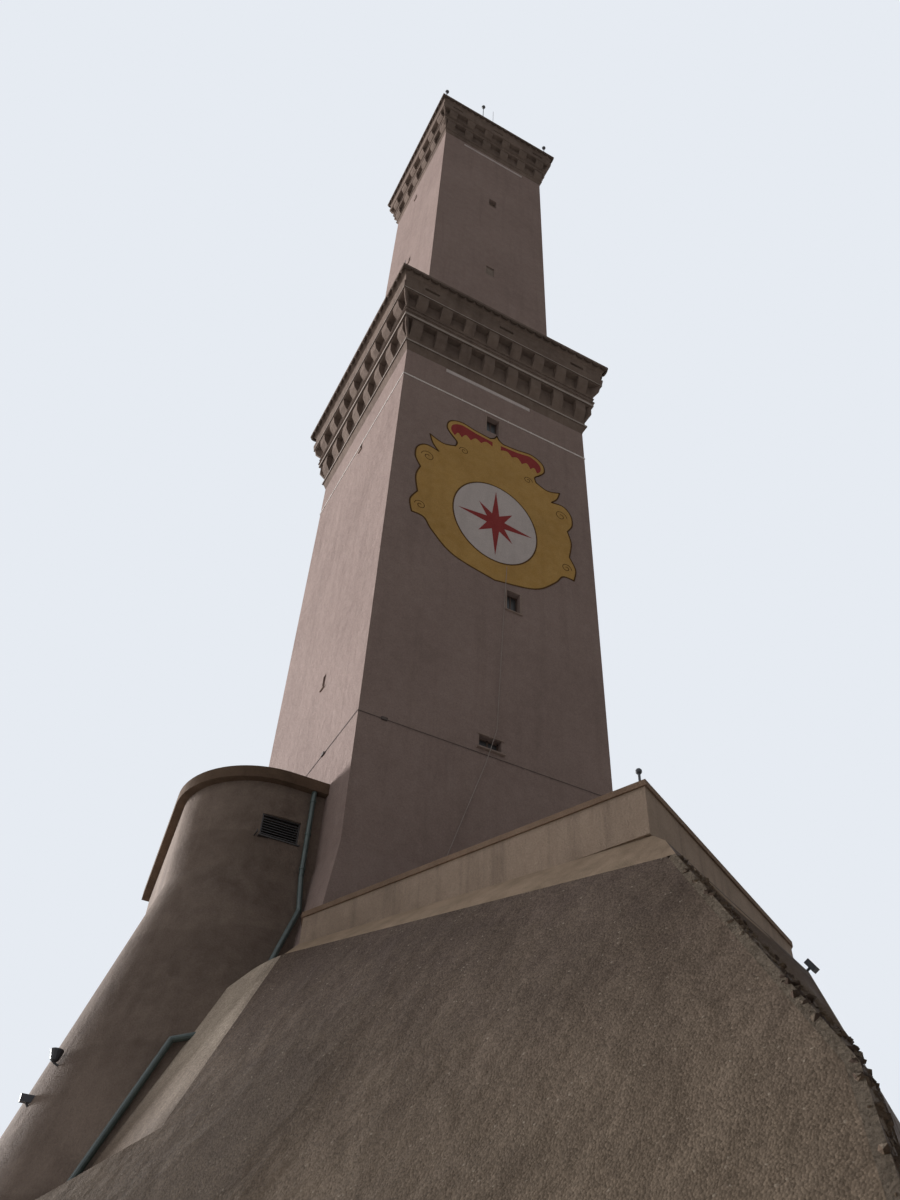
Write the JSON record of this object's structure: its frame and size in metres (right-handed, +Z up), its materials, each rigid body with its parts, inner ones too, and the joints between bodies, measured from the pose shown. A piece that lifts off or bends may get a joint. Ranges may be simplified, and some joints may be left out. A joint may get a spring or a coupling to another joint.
{
  "type": "lighthouse tower on a bastion, 1:10 scale model",
  "caption": "Scale model of a tall square masonry lighthouse: two stacked shafts with corbelled galleries, on a battered bastion with a round-fronted turret.",
  "frame": {"origin": "the tower's vertical axis at ground level, on the bastion's flat underside", "axes": "+Z up, -Y out of the front face that carries the painted emblem, -X towards the turret"},
  "size_m": [2.9386, 3.7395, 7.66],
  "materials": {
    "bastion_render": "coarse pebble render, rough and mottled",
    "bared_rubble": "broken rubble and mortar",
    "parapet_cap": "weathered cement cap",
    "parapet_render": "worn lime render",
    "turret_render": "fine cement render, stained",
    "tower_render": "fine lime render, weathered",
    "gallery_stone": "moulded render on stone corbels",
    "floor_slab": "plain cement",
    "lantern_glass": "clear",
    "louvre_metal": "dark matt paint",
    "pipe_metal": "grey matt paint, weathered",
    "door_wood": "painted boards, worn",
    "lamp_metal": "dark satin paint",
    "lantern_metal": "matt paint, weathered"
  },
  "bodies": {
    "root": {"bastion_bared_rubble": "bared_rubble", "bastion_copings_left_far": "parapet_cap", "bastion_copings_returns": "parapet_cap", "bastion_copings_right_rear": "parapet_cap", "bastion_lamps": "lamp_metal", "bastion_mass": "bastion_render", "bastion_parapet_far": "parapet_render", "bastion_parapet_left": "parapet_render", "bastion_parapet_rear": "parapet_render", "bastion_parapet_returns": "parapet_render", "bastion_parapet_right": "parapet_render", "door_leaves": "door_wood", "downpipe": "pipe_metal", "lantern_dome": "lantern_metal", "lantern_drum": "tower_render", "lantern_finial": "lantern_metal", "lantern_floor": "floor_slab", "lantern_panes": "lantern_glass", "lantern_posts": "lantern_metal", "lower_floors": "floor_slab", "lower_gallery_floor": "floor_slab", "lower_gallery_lower_corbels_front_back": "gallery_stone", "lower_gallery_lower_corbels_sides": "gallery_stone", "lower_gallery_parapet_front_back": "gallery_stone", "lower_gallery_parapet_sides": "gallery_stone", "lower_gallery_upper_corbels_front_back": "gallery_stone", "lower_gallery_upper_corbels_sides": "gallery_stone", "lower_wall_back": "tower_render", "lower_wall_front": "tower_render", "lower_wall_left": "tower_render", "lower_wall_right": "tower_render", "parapet_lamps": "lamp_metal", "plinth_back": "tower_render", "plinth_front": "tower_render", "plinth_left": "tower_render", "plinth_right": "tower_render", "turret_base": "turret_render", "turret_flank_wall": "turret_render", "turret_front_wall": "turret_render", "turret_louvre": "louvre_metal", "turret_rear_wall": "turret_render", "turret_roof_slab": "parapet_cap", "upper_floors": "floor_slab", "upper_gallery_floor": "floor_slab", "upper_gallery_lower_corbels_front_back": "gallery_stone", "upper_gallery_lower_corbels_sides": "gallery_stone", "upper_gallery_parapet_front_back": "gallery_stone", "upper_gallery_parapet_sides": "gallery_stone", "upper_gallery_upper_corbels_front_back": "gallery_stone", "upper_gallery_upper_corbels_sides": "gallery_stone", "upper_wall_back": "tower_render", "upper_wall_front": "tower_render", "upper_wall_left": "tower_render", "upper_wall_right": "tower_render"}
  },
  "joints": []
}
